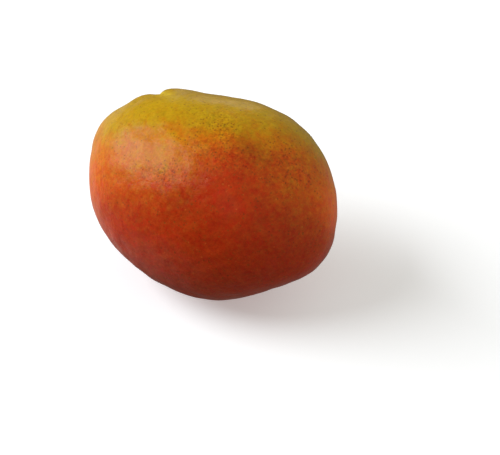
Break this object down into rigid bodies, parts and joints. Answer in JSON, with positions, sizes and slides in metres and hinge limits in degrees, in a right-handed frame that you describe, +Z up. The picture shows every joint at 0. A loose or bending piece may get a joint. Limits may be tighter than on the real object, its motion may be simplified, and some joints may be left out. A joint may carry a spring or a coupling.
{
  "type": "mango",
  "caption": "Whole ripe mango lying on its side: a blunt oval fruit with full cheeks, a faint beak, and a fold running out of the sunken stem scar.",
  "frame": {"origin": "middle of the fruit's footprint box, at the height of the surface that it lies on", "axes": "+X from the stem end to the apex, along the fruit; +Z up; the fruit's back is up and towards +Y, and its near cheek faces up and towards -Y"},
  "size_m": [0.1254, 0.0884, 0.0907],
  "materials": {
    "skin": "thin waxy fruit skin, satin: yellow-green at the stem, orange, and a deep red blush on the cheek"
  },
  "bodies": {
    "root": {"mango": "skin"}
  },
  "joints": []
}
